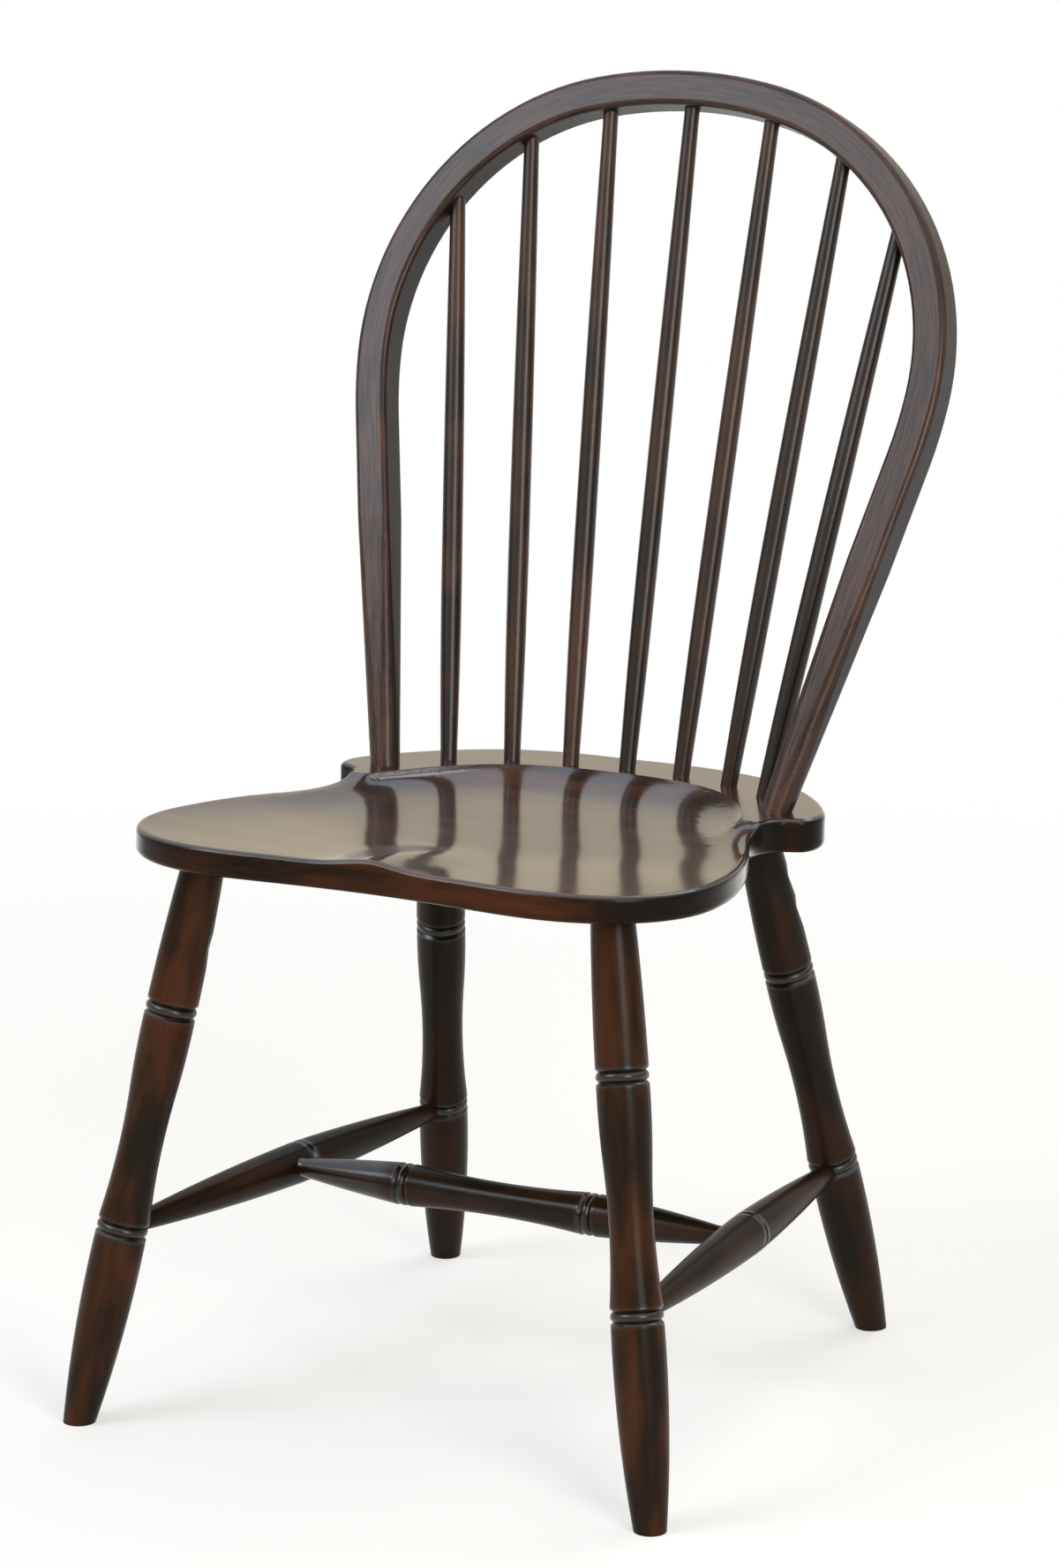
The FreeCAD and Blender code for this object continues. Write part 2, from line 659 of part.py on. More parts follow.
def rim_distance(back):
    """How far the seat's side rim is from the middle line, in front of the deck."""
    waist, bulge = size("edge_waist_out"), size("edge_side_bulge_out")
    share = (size("edge_waist_back") - back) / (size("edge_waist_back") - size("edge_side_bulge_back"))
    return waist + (bulge - waist) * smooth_step(share)


def side_roll(x, back):
    """How much further the top falls where it rolls over towards the seat's side."""
    start, full = size("side_roll_front"), size("side_roll_full")
    share = (abs(x) / rim_distance(back) - size("side_roll_from")) / (1 - size("side_roll_from"))
    amount = size("side_roll_depth") * smooth_step((back - start) / (full - start))
    return amount * bent_line(share, size("side_roll_bend")) ** 2


def saddle_height(x, back):
    """Height of the hollowed top below the deck (minus), at a point of the seat's plan."""
    front, bend = size("edge_front_middle_back"), size("crease_bend")
    crease = size("crease_middle") + size("crease_slope") * math.hypot(x, size("crease_round"))
    climb = bent_line(crease - back, bend) / bent_line(crease - front, bend)
    thigh = size("saddle_depth") + (size("rim_depth") - size("saddle_depth")) * climb
    pommel = math.exp(-(x / size("pommel_half_width")) ** 2) * size("pommel_rise_share") * climb
    deep = thigh * (1 - pommel)
    to_rim = min(abs(x) / rim_distance(back), 1.0) ** size("rim_power")
    depth = deep + (size("rim_depth") - deep) * to_rim + side_roll(x, back)
    ahead = deck_edge(x) - back
    wall = size("saddle_wall") * (1 + (size("rim_wall_share") - 1) * to_rim)
    fall = 1 - math.exp(-ahead / wall) if ahead > 0 else ahead / wall
    return -depth * fall


def new_saddle(name):
    """Everything above the hollowed surface, as one solid to cut away."""
    columns, rows = 101, 75
    half_width, front, rear = 262.0, -360.0, 170.0
    across = [half_width * (2 * column / (columns - 1) - 1) for column in range(columns)]
    backs = [front + (rear - front) * row / (rows - 1) for row in range(rows)]
    surface = Part.BSplineSurface()
    surface.interpolate([[Vector(x, back, saddle_height(x, back)) for back in backs] for x in across])
    above = 80.0
    saddle = doc.addObject("Part::Feature", name)
    saddle.Shape = surface.toShape().extrude(Vector(0, 0, above))
    return saddle


def edge_loop(shape, top):
    """Numbers of the edges round the rim of the seat, at its top or its underside."""
    found = []
    for number, edge in enumerate(shape.Edges, start=1):
        box = edge.BoundBox
        upright = box.ZLength > size("seat_thickness") / 2
        faces = shape.ancestorsOfType(edge, Part.Face)
        on_side = any(face.Surface.TypeId == "Part::GeomSurfaceOfExtrusion" for face in faces)
        at_top = box.ZMax > -size("seat_thickness") / 2
        if on_side and not upright and at_top == top:
            found.append(number)
    return found


def rounded_rim(name, base, top):
    radius = size("seat_edge_radius") if top else size("seat_under_radius")
    rounded = doc.addObject("Part::Fillet", name)
    rounded.Base = base
    rounded.Edges = [(number, radius, radius) for number in edge_loop(base.Shape, top)]
    doc.recompute()
    return rounded


def leg_tenon_socket(name, front, side):
    foot, top = leg_axis(front, side)
    outside = 10.0
    depth = dim("leg_tenon_length") + dim("socket_end_gap")
    start = point_on(top, foot, outside)
    return new_cylinder(name, dim("leg_tenon_radius") + GLUE, depth + outside, along(start, top))


def new_seat(name):
    plank = new_body(name + "_plank")
    outline = new_sketch(plank, name + "_outline", "XY_Plane")
    curve = Part.BSplineCurve()
    curve.interpolate(Points=seat_edge_points(), PeriodicFlag=True)
    outline.addGeometry(curve, False)
    doc.recompute()
    pad = plank.newObject("PartDesign::Pad", name + "_pad")
    pad.Profile = outline
    bind(pad, "Length", dim("seat_thickness"))
    pad.Reversed = True
    doc.recompute()
    hollowed = cut(name + "_hollowed", plank, [new_saddle(name + "_saddle")])
    doc.recompute()
    rounded = rounded_rim(name + "_top_rounded", hollowed, True)
    rounded = rounded_rim(name + "_rounded", rounded, False)
    rounded.Placement = seat_place
    sockets = [spindle_foot_socket(name + "_spindle_socket_%d" % number, index)
               for number, index in SPINDLES]
    sockets += [new_bow_tenon(name + "_bow_hole_" + word, side, GLUE) for word, side in SIDES]
    sockets += [leg_tenon_socket("%s_%s_%s_leg_socket" % (name, end, word), end == "front", side)
                for end in ("front", "rear") for word, side in SIDES]
    return cut(name, rounded, sockets)


SIDES = [("left", -1), ("right", 1)]
half_count = int(size("spindle_count_half"))
SPINDLES = [(index + half_count + 1, index) for index in range(-half_count, half_count + 1)]

# The whole chair, piece by piece
pieces = {"seat": new_seat("seat"), "bow": new_bow("bow")}
pieces["centre_stretcher"] = new_centre_stretcher("centre_stretcher")
for number, index in SPINDLES:
    name = "spindle_%d" % number
    pieces[name] = new_spindle(name, index)
for word, side in SIDES:
    pieces["bow_wedge_" + word] = new_wedge("bow_wedge_" + word, side)
    pieces["side_stretcher_" + word] = new_side_stretcher("side_stretcher_" + word, side)
    for end in ("front", "rear"):
        name = "leg_%s_%s" % (end, word)
        pieces[name] = new_leg(name, end == "front", side)
for name, piece in pieces.items():
    piece.Label = name
doc.recompute()

# Nothing is written unless every feature worked and every piece is one sound solid
failed = [item.Name for item in doc.Objects if "Invalid" in item.State or "Error" in item.State]
if failed:
    raise RuntimeError("failed features: " + ", ".join(failed))
for name, piece in pieces.items():
    if piece.Shape.isNull() or not piece.Shape.isValid() or len(piece.Shape.Solids) != 1:
        raise RuntimeError(name + " is not one valid solid")
os.makedirs("parts", exist_ok=True)
for name, piece in pieces.items():
    piece.Shape.exportStep("parts/%s.step" % name)
    print("%s: %.1f cm3" % (name, piece.Shape.Volume / 1000))
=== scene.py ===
import math

import bpy
from bpy.props import FloatProperty, FloatVectorProperty, PointerProperty
from bpy.types import Operator, Panel, PropertyGroup
from mathutils import Matrix, Vector


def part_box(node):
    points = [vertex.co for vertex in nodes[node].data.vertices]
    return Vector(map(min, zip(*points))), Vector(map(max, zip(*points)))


bl_info = {
    "name": "Bow-back side chair",
    "version": (1, 0, 0),
    "blender": (4, 5, 0),
    "location": "View3D > Sidebar > Chair",
    "description": "Finishes a bow-back side chair: stained grain, lacquer and a studio",
    "category": "Object",
}

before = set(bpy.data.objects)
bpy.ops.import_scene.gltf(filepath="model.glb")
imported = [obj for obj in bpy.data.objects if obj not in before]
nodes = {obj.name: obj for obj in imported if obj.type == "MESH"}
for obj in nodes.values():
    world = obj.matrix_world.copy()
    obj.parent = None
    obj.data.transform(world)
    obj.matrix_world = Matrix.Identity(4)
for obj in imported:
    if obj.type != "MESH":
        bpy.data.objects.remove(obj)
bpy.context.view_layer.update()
SIDES = (("left", -1), ("right", 1))

# How light each spindle's wood is, from the left: darker towards the right
SPINDLE_LIGHTNESS = (0.4, 0.28, 0.42, 0.2, 0.26, 0.1, 0.08)
SPINDLE_COUNT = len(SPINDLE_LIGHTNESS)
# How far the stain is wiped off the front and the rear legs: the rear legs' lower value is painted shade,
# the seat's shade on them
LEGS_WIPED_AND_SHADED = (("front", 0.52), ("rear", 0.18))

# Share of darkening in the rings (stain kept there, and painted shade in the grooves), in end grain (stain
# kept there) and on the bow's sides (painted shade)
RING_STAIN_AND_SHADE = 0.7
END_HOLD = 0.95
SIDE_SHADE = 0.95

# Lacquer: coat in the rings and on the centre stretcher's painted highlight patch, shine of the wood under
# it, and its index of refraction
RING_GLOSS = 0.8
BASE_SHINE = 0.05
LACQUER_IOR = 1.5

# Strength of the wiping, and how much fibres, all the grain and the lacquer's peel stand out
WIPING = 1.7
FIBRE_RELIEF = 0.25
GRAIN_RELIEF = 0.7
PEEL_RELIEF = 0.3
NOISE_MEAN = 0.5
SEED_SHIFT = (0.37, 0.53, 1.7)

# Where the smooth steps of the masks start and end
CLOUD_STEP = (0.38, 0.66)
STREAK_STEP = (0.34, 0.66)
PORE_STEP = (0.56, 0.68)
RING_STEP = (0.9, 1.5)
END_STEP = (0.12, 0.6)
SIDE_STEP = (0.15, 0.6)
TOP_STEP = (0.3, 0.8)
SLANT_STEP = (0.6, 0.9)
TINT_STEP = (0.05, 0.55)
SKY_STEP = (0.35, 0.95)

# Seeds of the noise: a row of pieces counts on from its own
LEG_SEED, SIDE_SEED, CENTRE_SEED, SPINDLE_SEED, BOW_SEED, SEAT_SEED = 3.0, 11.0, 15.0, 21.0, 31.0, 41.0

# Grain features per metre, across the grain and along it
CLOUDS = (38.0, 11.0)
STREAKS = (520.0, 22.0)
FIBRES = (1300.0, 40.0)
PORES = (700.0, 30.0)
PATCHES = (14.0, 14.0)
PEEL = (420.0, 420.0)

# Lamps: azimuth and elevation in degrees, width and height in metres, watts and colour
LAMPS = {
    "key_lamp": (-39.0, 36.0, 1.4, 1.2, 36.0, (0.78, 0.90, 1.0)),
    "strip_lamp": (53.0, 20.0, 1.1, 1.7, 42.0, (1.0, 0.95, 0.90)),
    "back_lamp": (164.0, 50.0, 1.8, 1.2, 20.0, (1.0, 0.97, 0.92)),
}
LAMP_DISTANCE = 3.0
LAMP_TARGET = (0, 0, 0.5)

# Studio colours: the walls that the lacquer mirrors, the light that falls on the chair, the floor
WHITE = (1, 1, 1, 1)
WARM_WALL = (1.0, 0.88, 0.66, 1)
COOL_SKY = (0.86, 0.90, 1.0, 1)
SOFT_LIGHT = (1.0, 0.95, 0.87, 1)
SOFT_STRENGTH = 0.5
WALL_STRENGTH, SKY_STRENGTH = 0.78, 2.0
PALE_FLOOR = (0.55, 0.55, 0.54, 1)
FLOOR_GLOW = 0.5
FLOOR_HALF = 40.0
SENSOR_WIDTH = 36.0


# Sizes and colours that a user would change

def place_property(name, description, default):
    return FloatVectorProperty(name=name, description=description, default=default, size=3,
                               subtype="TRANSLATION", unit="LENGTH")


def length_property(name, description, default):
    return FloatProperty(name=name, description=description, default=default, min=0.0, unit="LENGTH")


def angle_property(name, description, degrees):
    return FloatProperty(name=name, description=description, default=math.radians(degrees), subtype="ANGLE")


def share_property(name, description, default):
    return FloatProperty(name=name, description=description, default=default, min=0.0, max=1.0,
                         subtype="FACTOR")


def colour_property(name, description, default):
    return FloatVectorProperty(name=name, description=description, default=default, size=3,
                               subtype="COLOR", min=0.0, max=1.0)


class CHAIR_PG_turnings(PropertyGroup):
    """Where the turned pieces and their rings are, which places their grain, the stain and painted groove
    shade in the rings, and the centre stretcher's painted highlight patch.
    """

    front_foot: place_property("Front foot", "Foot centre of the right front leg", (0.2392, -0.2694, 0.0))
    front_top: place_property("Front top", "Top of the right front leg's axis", (0.1682, -0.1937, 0.4267))
    rear_foot: place_property("Rear foot", "Foot centre of the right rear leg", (0.1911, 0.2075, 0.0))
    rear_top: place_property("Rear top", "Top of the right rear leg's axis", (0.1374, 0.1035, 0.4143))
    front_ring_low: length_property("Front low ring", "Lower ring of a front leg, up its axis", 0.1523)
    front_ring_high: length_property("Front high ring", "Upper ring of a front leg, up its axis", 0.3219)
    rear_ring_low: length_property("Rear low ring", "Lower ring of a rear leg, up its axis", 0.148)
    rear_ring_high: length_property("Rear high ring", "Upper ring of a rear leg, up its axis", 0.3146)
    side_front: length_property("Side stretcher front", "Height at which it enters the front leg", 0.147)
    side_rear: length_property("Side stretcher rear", "Height at which it enters the rear leg", 0.1368)
    side_ring: share_property("Side ring", "Ring of a side stretcher, as a share of its length", 0.535)
    centre_joint: share_property("Centre joint", "Centre stretcher's place on a side stretcher", 0.4885)
    centre_ring_left: share_property("Left centre ring", "As a share of the centre stretcher", 0.2788)
    centre_ring_right: share_property("Right centre ring", "As a share of the centre stretcher", 0.6878)
    ring_half: length_property("Ring half width", "From the middle of a double ring to its edge", 0.0058)
    groove_half: length_property("Groove half width", "From a single groove to its edge", 0.0045)
    # Painted highlight: a patch on the centre stretcher's left end with extra coat and darker stain, placed
    # to give the highlight that light from the upper left casts there; the lacquer is not thicker
    highlight_place: share_property("Highlight patch", "Middle of the painted highlight patch, on the centre stretcher", 0.13)
    highlight_half: length_property("Highlight patch half width", "From its middle to where it fades out", 0.036)


class CHAIR_PG_bow(PropertyGroup):
    """Line of the bow, in its own plane, which its grain follows round."""

    foot: place_property("Bow plane", "Middle of the deck between the bow's feet", (0.0, 0.0726, 0.4414))
    recline: angle_property("Recline", "How far the bow leans back", 20.6)
    top_centre: length_property("Top centre", "Centre of the top arc above the deck", 0.1974)
    top_radius: length_property("Top radius", "Radius of the top arc", 0.348)
    top_end: angle_property("Top end", "Half angle of the top arc", 12.5)
    shoulder_radius: length_property("Shoulder radius", "Radius of the shoulders", 0.205)
    shoulder_end: angle_property("Shoulder end", "Angle from the top where a shoulder ends", 94.5)
    hip_radius: length_property("Hip radius", "Radius below the shoulders", 0.343)
    hip_end: angle_property("Hip end", "Angle from the top where the straight leg starts", 102.4)


class CHAIR_PG_finish(PropertyGroup):
    """Colours of the stain, thick and wiped thin."""

    stain: colour_property("Stain", "Wood where the stain lies thick", (0.0080, 0.0060, 0.0028))
    rubbed: colour_property("Rubbed stain", "Wood where the stain was wiped thin", (0.078, 0.024, 0.008))
    bow_stain: colour_property("Bow stain", "Open pores of the bent bow", (0.014, 0.009, 0.007))
    bow_rubbed: colour_property("Bow rubbed", "Between the pores of the bent bow", (0.10, 0.044, 0.028))


class CHAIR_PG_studio(PropertyGroup):
    """Camera and floor."""

    azimuth: angle_property("Camera azimuth", "Camera's turn from the front to the chair's right", 28.21)
    elevation: angle_property("Camera elevation", "Camera's height above the horizon", 13.30)
    distance: length_property("Camera distance", "Camera to the point it looks at", 4.0628)
    target: place_property("Camera target", "Point at the picture's middle", (0.0215, -0.0439, 0.4707))
    lens: FloatProperty(name="Lens", description="Focal length in millimetres", default=126.04, min=1.0)
    floor_near: length_property("Near floor", "Round the chair, where the floor keeps its light", 0.75)
    floor_far: length_property("Far floor", "Beyond which the floor is plain white", 2.0)


# Shader helpers

def new_group(name, inputs, outputs):
    """Node group with sockets given as (name, type, default), and its two end nodes."""
    group = bpy.data.node_groups.new(name, "ShaderNodeTree")
    for label, kind, default in inputs:
        socket = group.interface.new_socket(name=label, in_out="INPUT", socket_type=kind)
        if default is not None:
            socket.default_value = default
    for label, kind in outputs:
        group.interface.new_socket(name=label, in_out="OUTPUT", socket_type=kind)
    return group, group.nodes.new("NodeGroupInput"), group.nodes.new("NodeGroupOutput")


def feed(tree, node, key, value):
    """Link an output to a node's input, or set the input's value."""
    socket = node.inputs[key]
    if isinstance(value, bpy.types.NodeSocket):
        tree.links.new(value, socket)
    else:
        socket.default_value = value


def add_node(tree, kind, settings=None, **inputs):
    """New shader node with its settings, and its inputs linked or set by name."""
    node = tree.nodes.new(kind)
    for key, value in (settings or {}).items():
        setattr(node, key, value)
    for key, value in inputs.items():
        feed(tree, node, key.replace("_", " "), value)
    return node


def maths(tree, operation, *values):
    """Result of a Math node."""
    node = tree.nodes.new("ShaderNodeMath")
    node.operation = operation
    for index, value in enumerate(values):
        feed(tree, node, index, value)
    return node.outputs[0]


def vector_maths(tree, operation, *values):
    """Result of a Vector Math node."""
    node = tree.nodes.new("ShaderNodeVectorMath")
    node.operation = operation
    for index, value in enumerate(values):
        feed(tree, node, index, value)
    return node.outputs["Value" if operation in ("DOT_PRODUCT", "LENGTH") else "Vector"]


def remap(tree, value, low, high, to_low=0.0, to_high=1.0):
    """Smooth step from low to high."""
    node = add_node(tree, "ShaderNodeMapRange", {"interpolation_type": "SMOOTHSTEP"}, Value=value)
    for key, number in (("From Min", low), ("From Max", high), ("To Min", to_low), ("To Max", to_high)):
        feed(tree, node, key, number)
    return node.outputs["Result"]


def blend_numbers(tree, factor, first, second):
    """First number at factor 0, second at 1."""
    node = tree.nodes.new("ShaderNodeMix")
    for key, value in ((0, factor), (2, first), (3, second)):
        feed(tree, node, key, value)
    return node.outputs[0]


def blend_colours(tree, factor, first, second):
    """First colour at factor 0, second at 1."""
    node = tree.nodes.new("ShaderNodeMix")
    node.data_type = "RGBA"
    for key, value in ((0, factor), (6, first), (7, second)):
        feed(tree, node, key, value)
    return node.outputs[2]


def stretched_noise(tree, vector, features, detail, roughness=0.55):
    """Noise drawn out along the grain: features per metre across it and along it."""
    across, along = features
    scaled = vector_maths(tree, "MULTIPLY", vector, (across, across, along))
    noise = add_node(tree, "ShaderNodeTexNoise", None, Vector=scaled, Scale=1.0, Detail=detail,
                     Roughness=roughness)
    return noise.outputs["Fac"]


# Node groups that the finishes share

def build_grain_group():
    """Stained wood: broad clouds of stain, growth streaks, fibres and open pores."""
    group, start, end = new_group(
        "Stained grain",
        [("Vector", "NodeSocketVector", None), ("Stain", "NodeSocketColor", (0.01, 0.01, 0.01, 1)),
         ("Rubbed", "NodeSocketColor", (0.06, 0.03, 0.01, 1)), ("Rub amount", "NodeSocketFloat", 0.5),
         ("Streak amount", "NodeSocketFloat", 0.3), ("Pore amount", "NodeSocketFloat", 0.5),
         ("Hold", "NodeSocketFloat", 0.0)],
        [("Color", "NodeSocketColor"), ("Height", "NodeSocketFloat")])
    vector, rub, streak = (start.outputs[name] for name in ("Vector", "Rub amount", "Streak amount"))
    clouds = remap(group, stretched_noise(group, vector, CLOUDS, 2.0), *CLOUD_STEP)
    streaks = remap(group, stretched_noise(group, vector, STREAKS, 4.0, 0.7), *STREAK_STEP)
    fibres = stretched_noise(group, vector, FIBRES, 3.0, 0.6)
    pores = stretched_noise(group, vector, PORES, 1.0, 0.4)
    tone = blend_numbers(group, streak, clouds, streaks)
    tone = maths(group, "MULTIPLY", tone, maths(group, "MULTIPLY", rub, WIPING))
    grainy = maths(group, "MULTIPLY", maths(group, "SUBTRACT", fibres, NOISE_MEAN), streak)
    tone = maths(group, "ADD", tone, grainy)
    # Darken by the given share: stain kept in rings and end grain, and painted shade
    tone = maths(group, "MULTIPLY", tone, maths(group, "SUBTRACT", 1.0, start.outputs["Hold"]))
    tone = add_node(group, "ShaderNodeClamp", None, Value=tone).outputs[0]
    colour = blend_colours(group, tone, start.outputs["Stain"], start.outputs["Rubbed"])
    pore_mask = maths(group, "MULTIPLY", remap(group, pores, *PORE_STEP), start.outputs["Pore amount"])
    colour = blend_colours(group, pore_mask, colour, start.outputs["Stain"])
    height = maths(group, "MULTIPLY_ADD", fibres, FIBRE_RELIEF, maths(group, "MULTIPLY", pore_mask, -1.0))
    feed(group, end, "Color", colour)
    feed(group, end, "Height", height)
    return group


def build_lacquer_group():
    """Sprayed lacquer: slight orange peel and handled, duller patches."""
    group, start, end = new_group(
        "Lacquer film",
        [("Vector", "NodeSocketVector", None), ("Roughness", "NodeSocketFloat", 0.3),
         ("Unevenness", "NodeSocketFloat", 0.06)],
        [("Roughness", "NodeSocketFloat"), ("Height", "NodeSocketFloat")])
    patches = stretched_noise(group, start.outputs["Vector"], PATCHES, 3.0)
    peel = stretched_noise(group, start.outputs["Vector"], PEEL, 2.0)
    swing = maths(group, "SUBTRACT", patches, NOISE_MEAN)
    swing = maths(group, "MULTIPLY", swing, start.outputs["Unevenness"])
    feed(group, end, "Roughness", maths(group, "MULTIPLY_ADD", swing, 2.0, start.outputs["Roughness"]))
    feed(group, end, "Height", peel)
    return group


def build_ring_group():
    """Band round a turned piece, for the stain and painted groove shade of a ring: 1 within half a width of
    its place along the grain.
    """
    group, start, end = new_group(
        "Ring band",
        [("Vector", "NodeSocketVector", None), ("Place", "NodeSocketFloat", 0.0),
         ("Half width", "NodeSocketFloat", 0.005)],
        [("Mask", "NodeSocketFloat")])
    along = add_node(group, "ShaderNodeSeparateXYZ", None, Vector=start.outputs["Vector"]).outputs["Z"]
    off = maths(group, "ABSOLUTE", maths(group, "SUBTRACT", along, start.outputs["Place"]))
    share = maths(group, "DIVIDE", off, start.outputs["Half width"])
    feed(group, end, "Mask", remap(group, share, *RING_STEP, 1.0, 0.0))
    return group


GROUP_BUILDERS = {"Stained grain": build_grain_group, "Lacquer film": build_lacquer_group,
                  "Ring band": build_ring_group}


def place_group(tree, name, **inputs):
    """Node that uses a shared group, which is built the first time."""
    if name not in bpy.data.node_groups:
        GROUP_BUILDERS[name]()
    return add_node(tree, "ShaderNodeGroup", {"node_tree": bpy.data.node_groups[name]}, **inputs)


# Grain: each gives a vector whose Z runs along the grain, in metres

def straight_grain(place):
    """Grain of a straight stick, along the Z axis of this place."""
    def build(tree):
        position = add_node(tree, "ShaderNodeTexCoord").outputs["Object"]
        mapping = add_node(tree, "ShaderNodeMapping", {"vector_type": "TEXTURE"}, Vector=position)
        mapping.inputs["Location"].default_value = place.to_translation()
        mapping.inputs["Rotation"].default_value = place.to_euler()
        return mapping.outputs[0]
    return build


def stick_place(start, end):
    """Place with its origin at the start of a stick and its Z axis towards the end."""
    along = (Vector(end) - Vector(start)).normalized()
    return Matrix.Translation(Vector(start)) @ along.to_track_quat("Z", "Y").to_matrix().to_4x4()


def bow_arcs(bow):
    """Arcs of the bow's right half from its top down: centre, radius, first and last angle from upright."""
    centre = Vector((0.0, bow.top_centre))
    arcs = []
    start, radius = 0.0, bow.top_radius
    for end, following in ((bow.top_end, bow.shoulder_radius), (bow.shoulder_end, bow.hip_radius),
                           (bow.hip_end, None)):
        arcs.append((centre, radius, start, end))
        if following:
            outward = Vector((math.sin(end), math.cos(end)))
            centre = centre + outward * (radius - following)
            start, radius = end, following
    return arcs


def bent_grain(bow):
    """Grain that follows the bow round: across it, through it and along it."""
    place = Matrix.Translation(bow.foot) @ Matrix.Rotation(math.pi / 2 - bow.recline, 4, "X")

    def build(tree):
        flat = add_node(tree, "ShaderNodeSeparateXYZ", None, Vector=straight_grain(place)(tree))
        side = maths(tree, "SIGN", flat.outputs["X"])
        out = maths(tree, "ABSOLUTE", flat.outputs["X"])
        across, along, reached, past = None, None, 0.0, None
        for centre, radius, start, end in bow_arcs(bow):
            right = maths(tree, "SUBTRACT", out, centre.x)
            up = maths(tree, "SUBTRACT", flat.outputs["Y"], centre.y)
            angle = maths(tree, "ARCTAN2", right, up)
            squares = [maths(tree, "POWER", maths(tree, "ABSOLUTE", part), 2.0) for part in (right, up)]
            far = maths(tree, "SQRT", maths(tree, "ADD", *squares))
            offset = maths(tree, "SUBTRACT", far, radius)
            length = maths(tree, "MULTIPLY_ADD", maths(tree, "SUBTRACT", angle, start), radius, reached)
            across = offset if past is None else blend_numbers(tree, past, across, offset)
            along = length if past is None else blend_numbers(tree, past, along, length)
            reached += radius * (end - start)
            past = maths(tree, "GREATER_THAN", angle, end)
        corner = centre + Vector((math.sin(end), math.cos(end))) * radius
        right = maths(tree, "SUBTRACT", out, corner.x)
        up = maths(tree, "SUBTRACT", flat.outputs["Y"], corner.y)
        sine, cosine = math.sin(end), math.cos(end)
        offset = maths(tree, "MULTIPLY_ADD", right, sine, maths(tree, "MULTIPLY", up, cosine))
        length = maths(tree, "MULTIPLY_ADD", right, cosine, maths(tree, "MULTIPLY", up, -sine))
        across = blend_numbers(tree, past, across, offset)
        along = blend_numbers(tree, past, along, maths(tree, "ADD", length, reached))
        return add_node(tree, "ShaderNodeCombineXYZ", None, X=across, Y=flat.outputs["Z"],
                        Z=maths(tree, "MULTIPLY", along, side)).outputs[0]
    return build


# Finishes

def stained_wood(name, grain, stain, rubbed, rub=0.5, streak=0.14, pores=0.15, rough=0.34, gloss=0.12,
                 gloss_rough=0.2, relief=0.00003, shorten=1.0, seed=0.0, rings=(), end_axis=None,
                 unshaded_axis=None, polished_top=False):
    """Stained and lacquered wood.

    Rings keep stain and lacquer and get painted shade in their grooves; a ring band can also be a painted
    highlight patch. End grain across end_axis keeps stain. Where unshaded_axis is given, all the faces that
    don't face along it get painted shade.
    """
    material = bpy.data.materials.new(name)
    material.use_nodes = True
    tree = material.node_tree
    shader = tree.nodes["Principled BSDF"]
    vector = grain(tree)
    shifted = vector_maths(tree, "ADD", vector, tuple(seed * shift for shift in SEED_SHIFT))
    shifted = vector_maths(tree, "MULTIPLY", shifted, (1.0, 1.0, shorten))
    ringed = 0.0
    # Ring bands darken the stain: partly stain kept in the rings, partly painted shade in their grooves;
    # the centre stretcher's extra band is a painted highlight patch
    for place, half_width in rings:
        ring = place_group(tree, "Ring band", Vector=vector, Place=place, Half_width=half_width)
        ringed = maths(tree, "MAXIMUM", ringed, ring.outputs["Mask"])
    stain_and_shade = maths(tree, "MULTIPLY", ringed, RING_STAIN_AND_SHADE) if rings else 0.0
    facing = add_node(tree, "ShaderNodeTexCoord").outputs["Normal"]
    if end_axis is not None:
        across = maths(tree, "ABSOLUTE", vector_maths(tree, "DOT_PRODUCT", facing, end_axis))
        stain_and_shade = maths(tree, "MAXIMUM", stain_and_shade, remap(tree, across, *END_STEP, 0.0, END_HOLD))
    # Painted shade on the sides: faces that don't face along this axis are darkened, for the shade that
    # falls on them
    if unshaded_axis is not None:
        across = maths(tree, "ABSOLUTE", vector_maths(tree, "DOT_PRODUCT", facing, unshaded_axis))
        stain_and_shade = maths(tree, "MAXIMUM", stain_and_shade, remap(tree, across, *SIDE_STEP, SIDE_SHADE, 0.0))
    wood = place_group(tree, "Stained grain", Vector=shifted, Stain=(*stain, 1.0), Rubbed=(*rubbed, 1.0),
                       Rub_amount=rub, Streak_amount=streak, Pore_amount=pores, Hold=stain_and_shade)
    film = place_group(tree, "Lacquer film", Vector=shifted, Roughness=rough)
    height = maths(tree, "MULTIPLY_ADD", wood.outputs["Height"], GRAIN_RELIEF,
                   maths(tree, "MULTIPLY", film.outputs["Height"], PEEL_RELIEF))
    bump = add_node(tree, "ShaderNodeBump", None, Strength=1.0, Distance=relief, Height=height)
    feed(tree, shader, "Base Color", wood.outputs["Color"])
    feed(tree, shader, "Roughness", film.outputs["Roughness"])
    feed(tree, shader, "Normal", bump.outputs[0])
    feed(tree, shader, "Specular IOR Level", BASE_SHINE)
    feed(tree, shader, "Coat Weight", gloss)
    feed(tree, shader, "Coat Roughness", gloss_rough)
    feed(tree, shader, "Coat IOR", LACQUER_IOR)
    # Extra coat in the ring bands: lacquer pooled in the rings, and on the centre stretcher's patch a
    # painted highlight
    if rings:
        thick = maths(tree, "MULTIPLY_ADD", ringed, RING_GLOSS - gloss, gloss)
        feed(tree, shader, "Coat Weight", thick)
    if polished_top:
        up = add_node(tree, "ShaderNodeSeparateXYZ", None, Vector=facing).outputs["Z"]
        aslant = add_node(tree, "ShaderNodeLayerWeight").outputs["Facing"]
        thick = maths(tree, "MAXIMUM", remap(tree, up, *TOP_STEP, gloss, 1.0),
                      remap(tree, aslant, *SLANT_STEP, gloss, 1.0))
        feed(tree, shader, "Coat Weight", thick)
    return material


